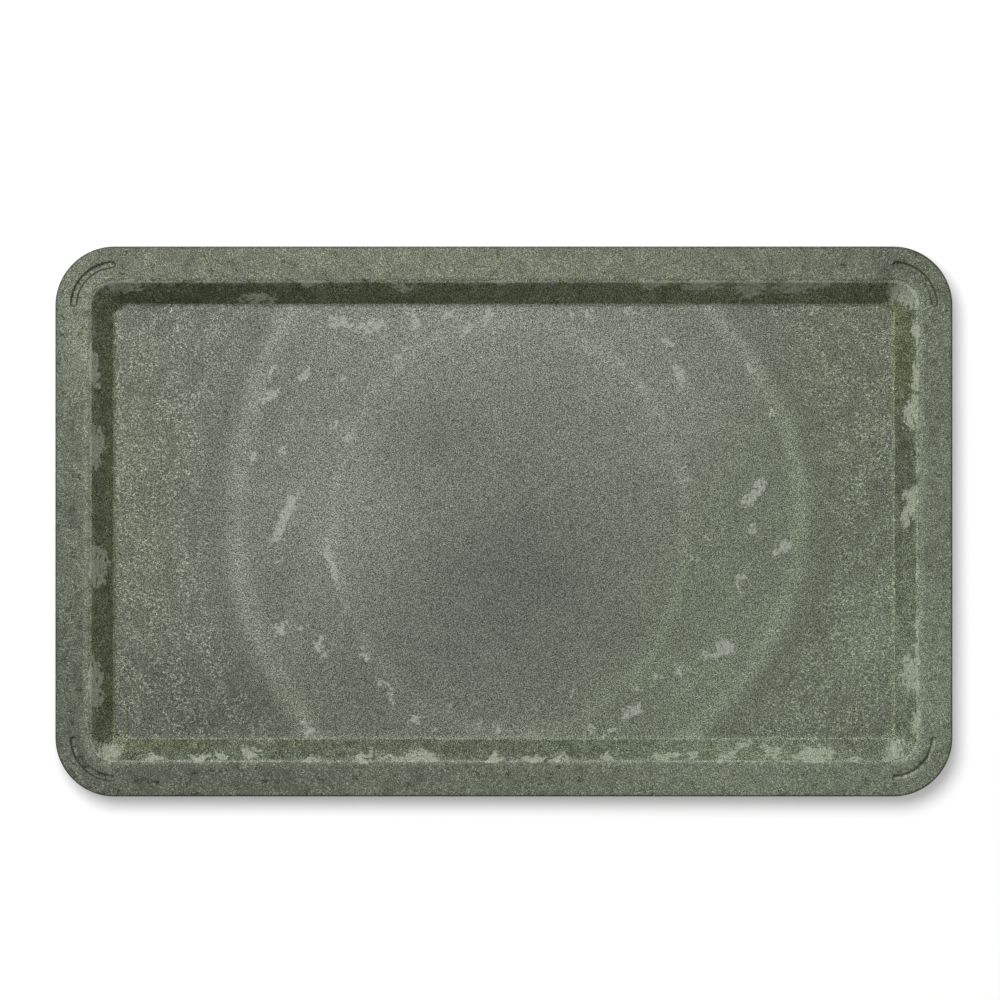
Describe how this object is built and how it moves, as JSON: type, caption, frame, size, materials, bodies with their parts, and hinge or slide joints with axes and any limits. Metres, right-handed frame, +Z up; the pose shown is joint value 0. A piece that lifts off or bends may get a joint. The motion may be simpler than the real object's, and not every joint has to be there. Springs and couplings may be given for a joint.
{
  "type": "gastronorm tray",
  "caption": "Shallow full-size gastronorm serving tray: flat floor, sloping walls, flat rim with curved corner grooves and stacking ribs below, moulded in one piece.",
  "frame": {"origin": "centre of the tray's underside, on the surface that it stands on", "axes": "+X along the long side, +Y along the short side, +Z up out of the recess"},
  "size_m": [0.53, 0.325, 0.02],
  "materials": {
    "tray_compound": "mottled grey-green fibre-filled thermoset, satin, with a fine pebbled grain"
  },
  "bodies": {
    "root": {"tray_body": "tray_compound"}
  },
  "joints": []
}
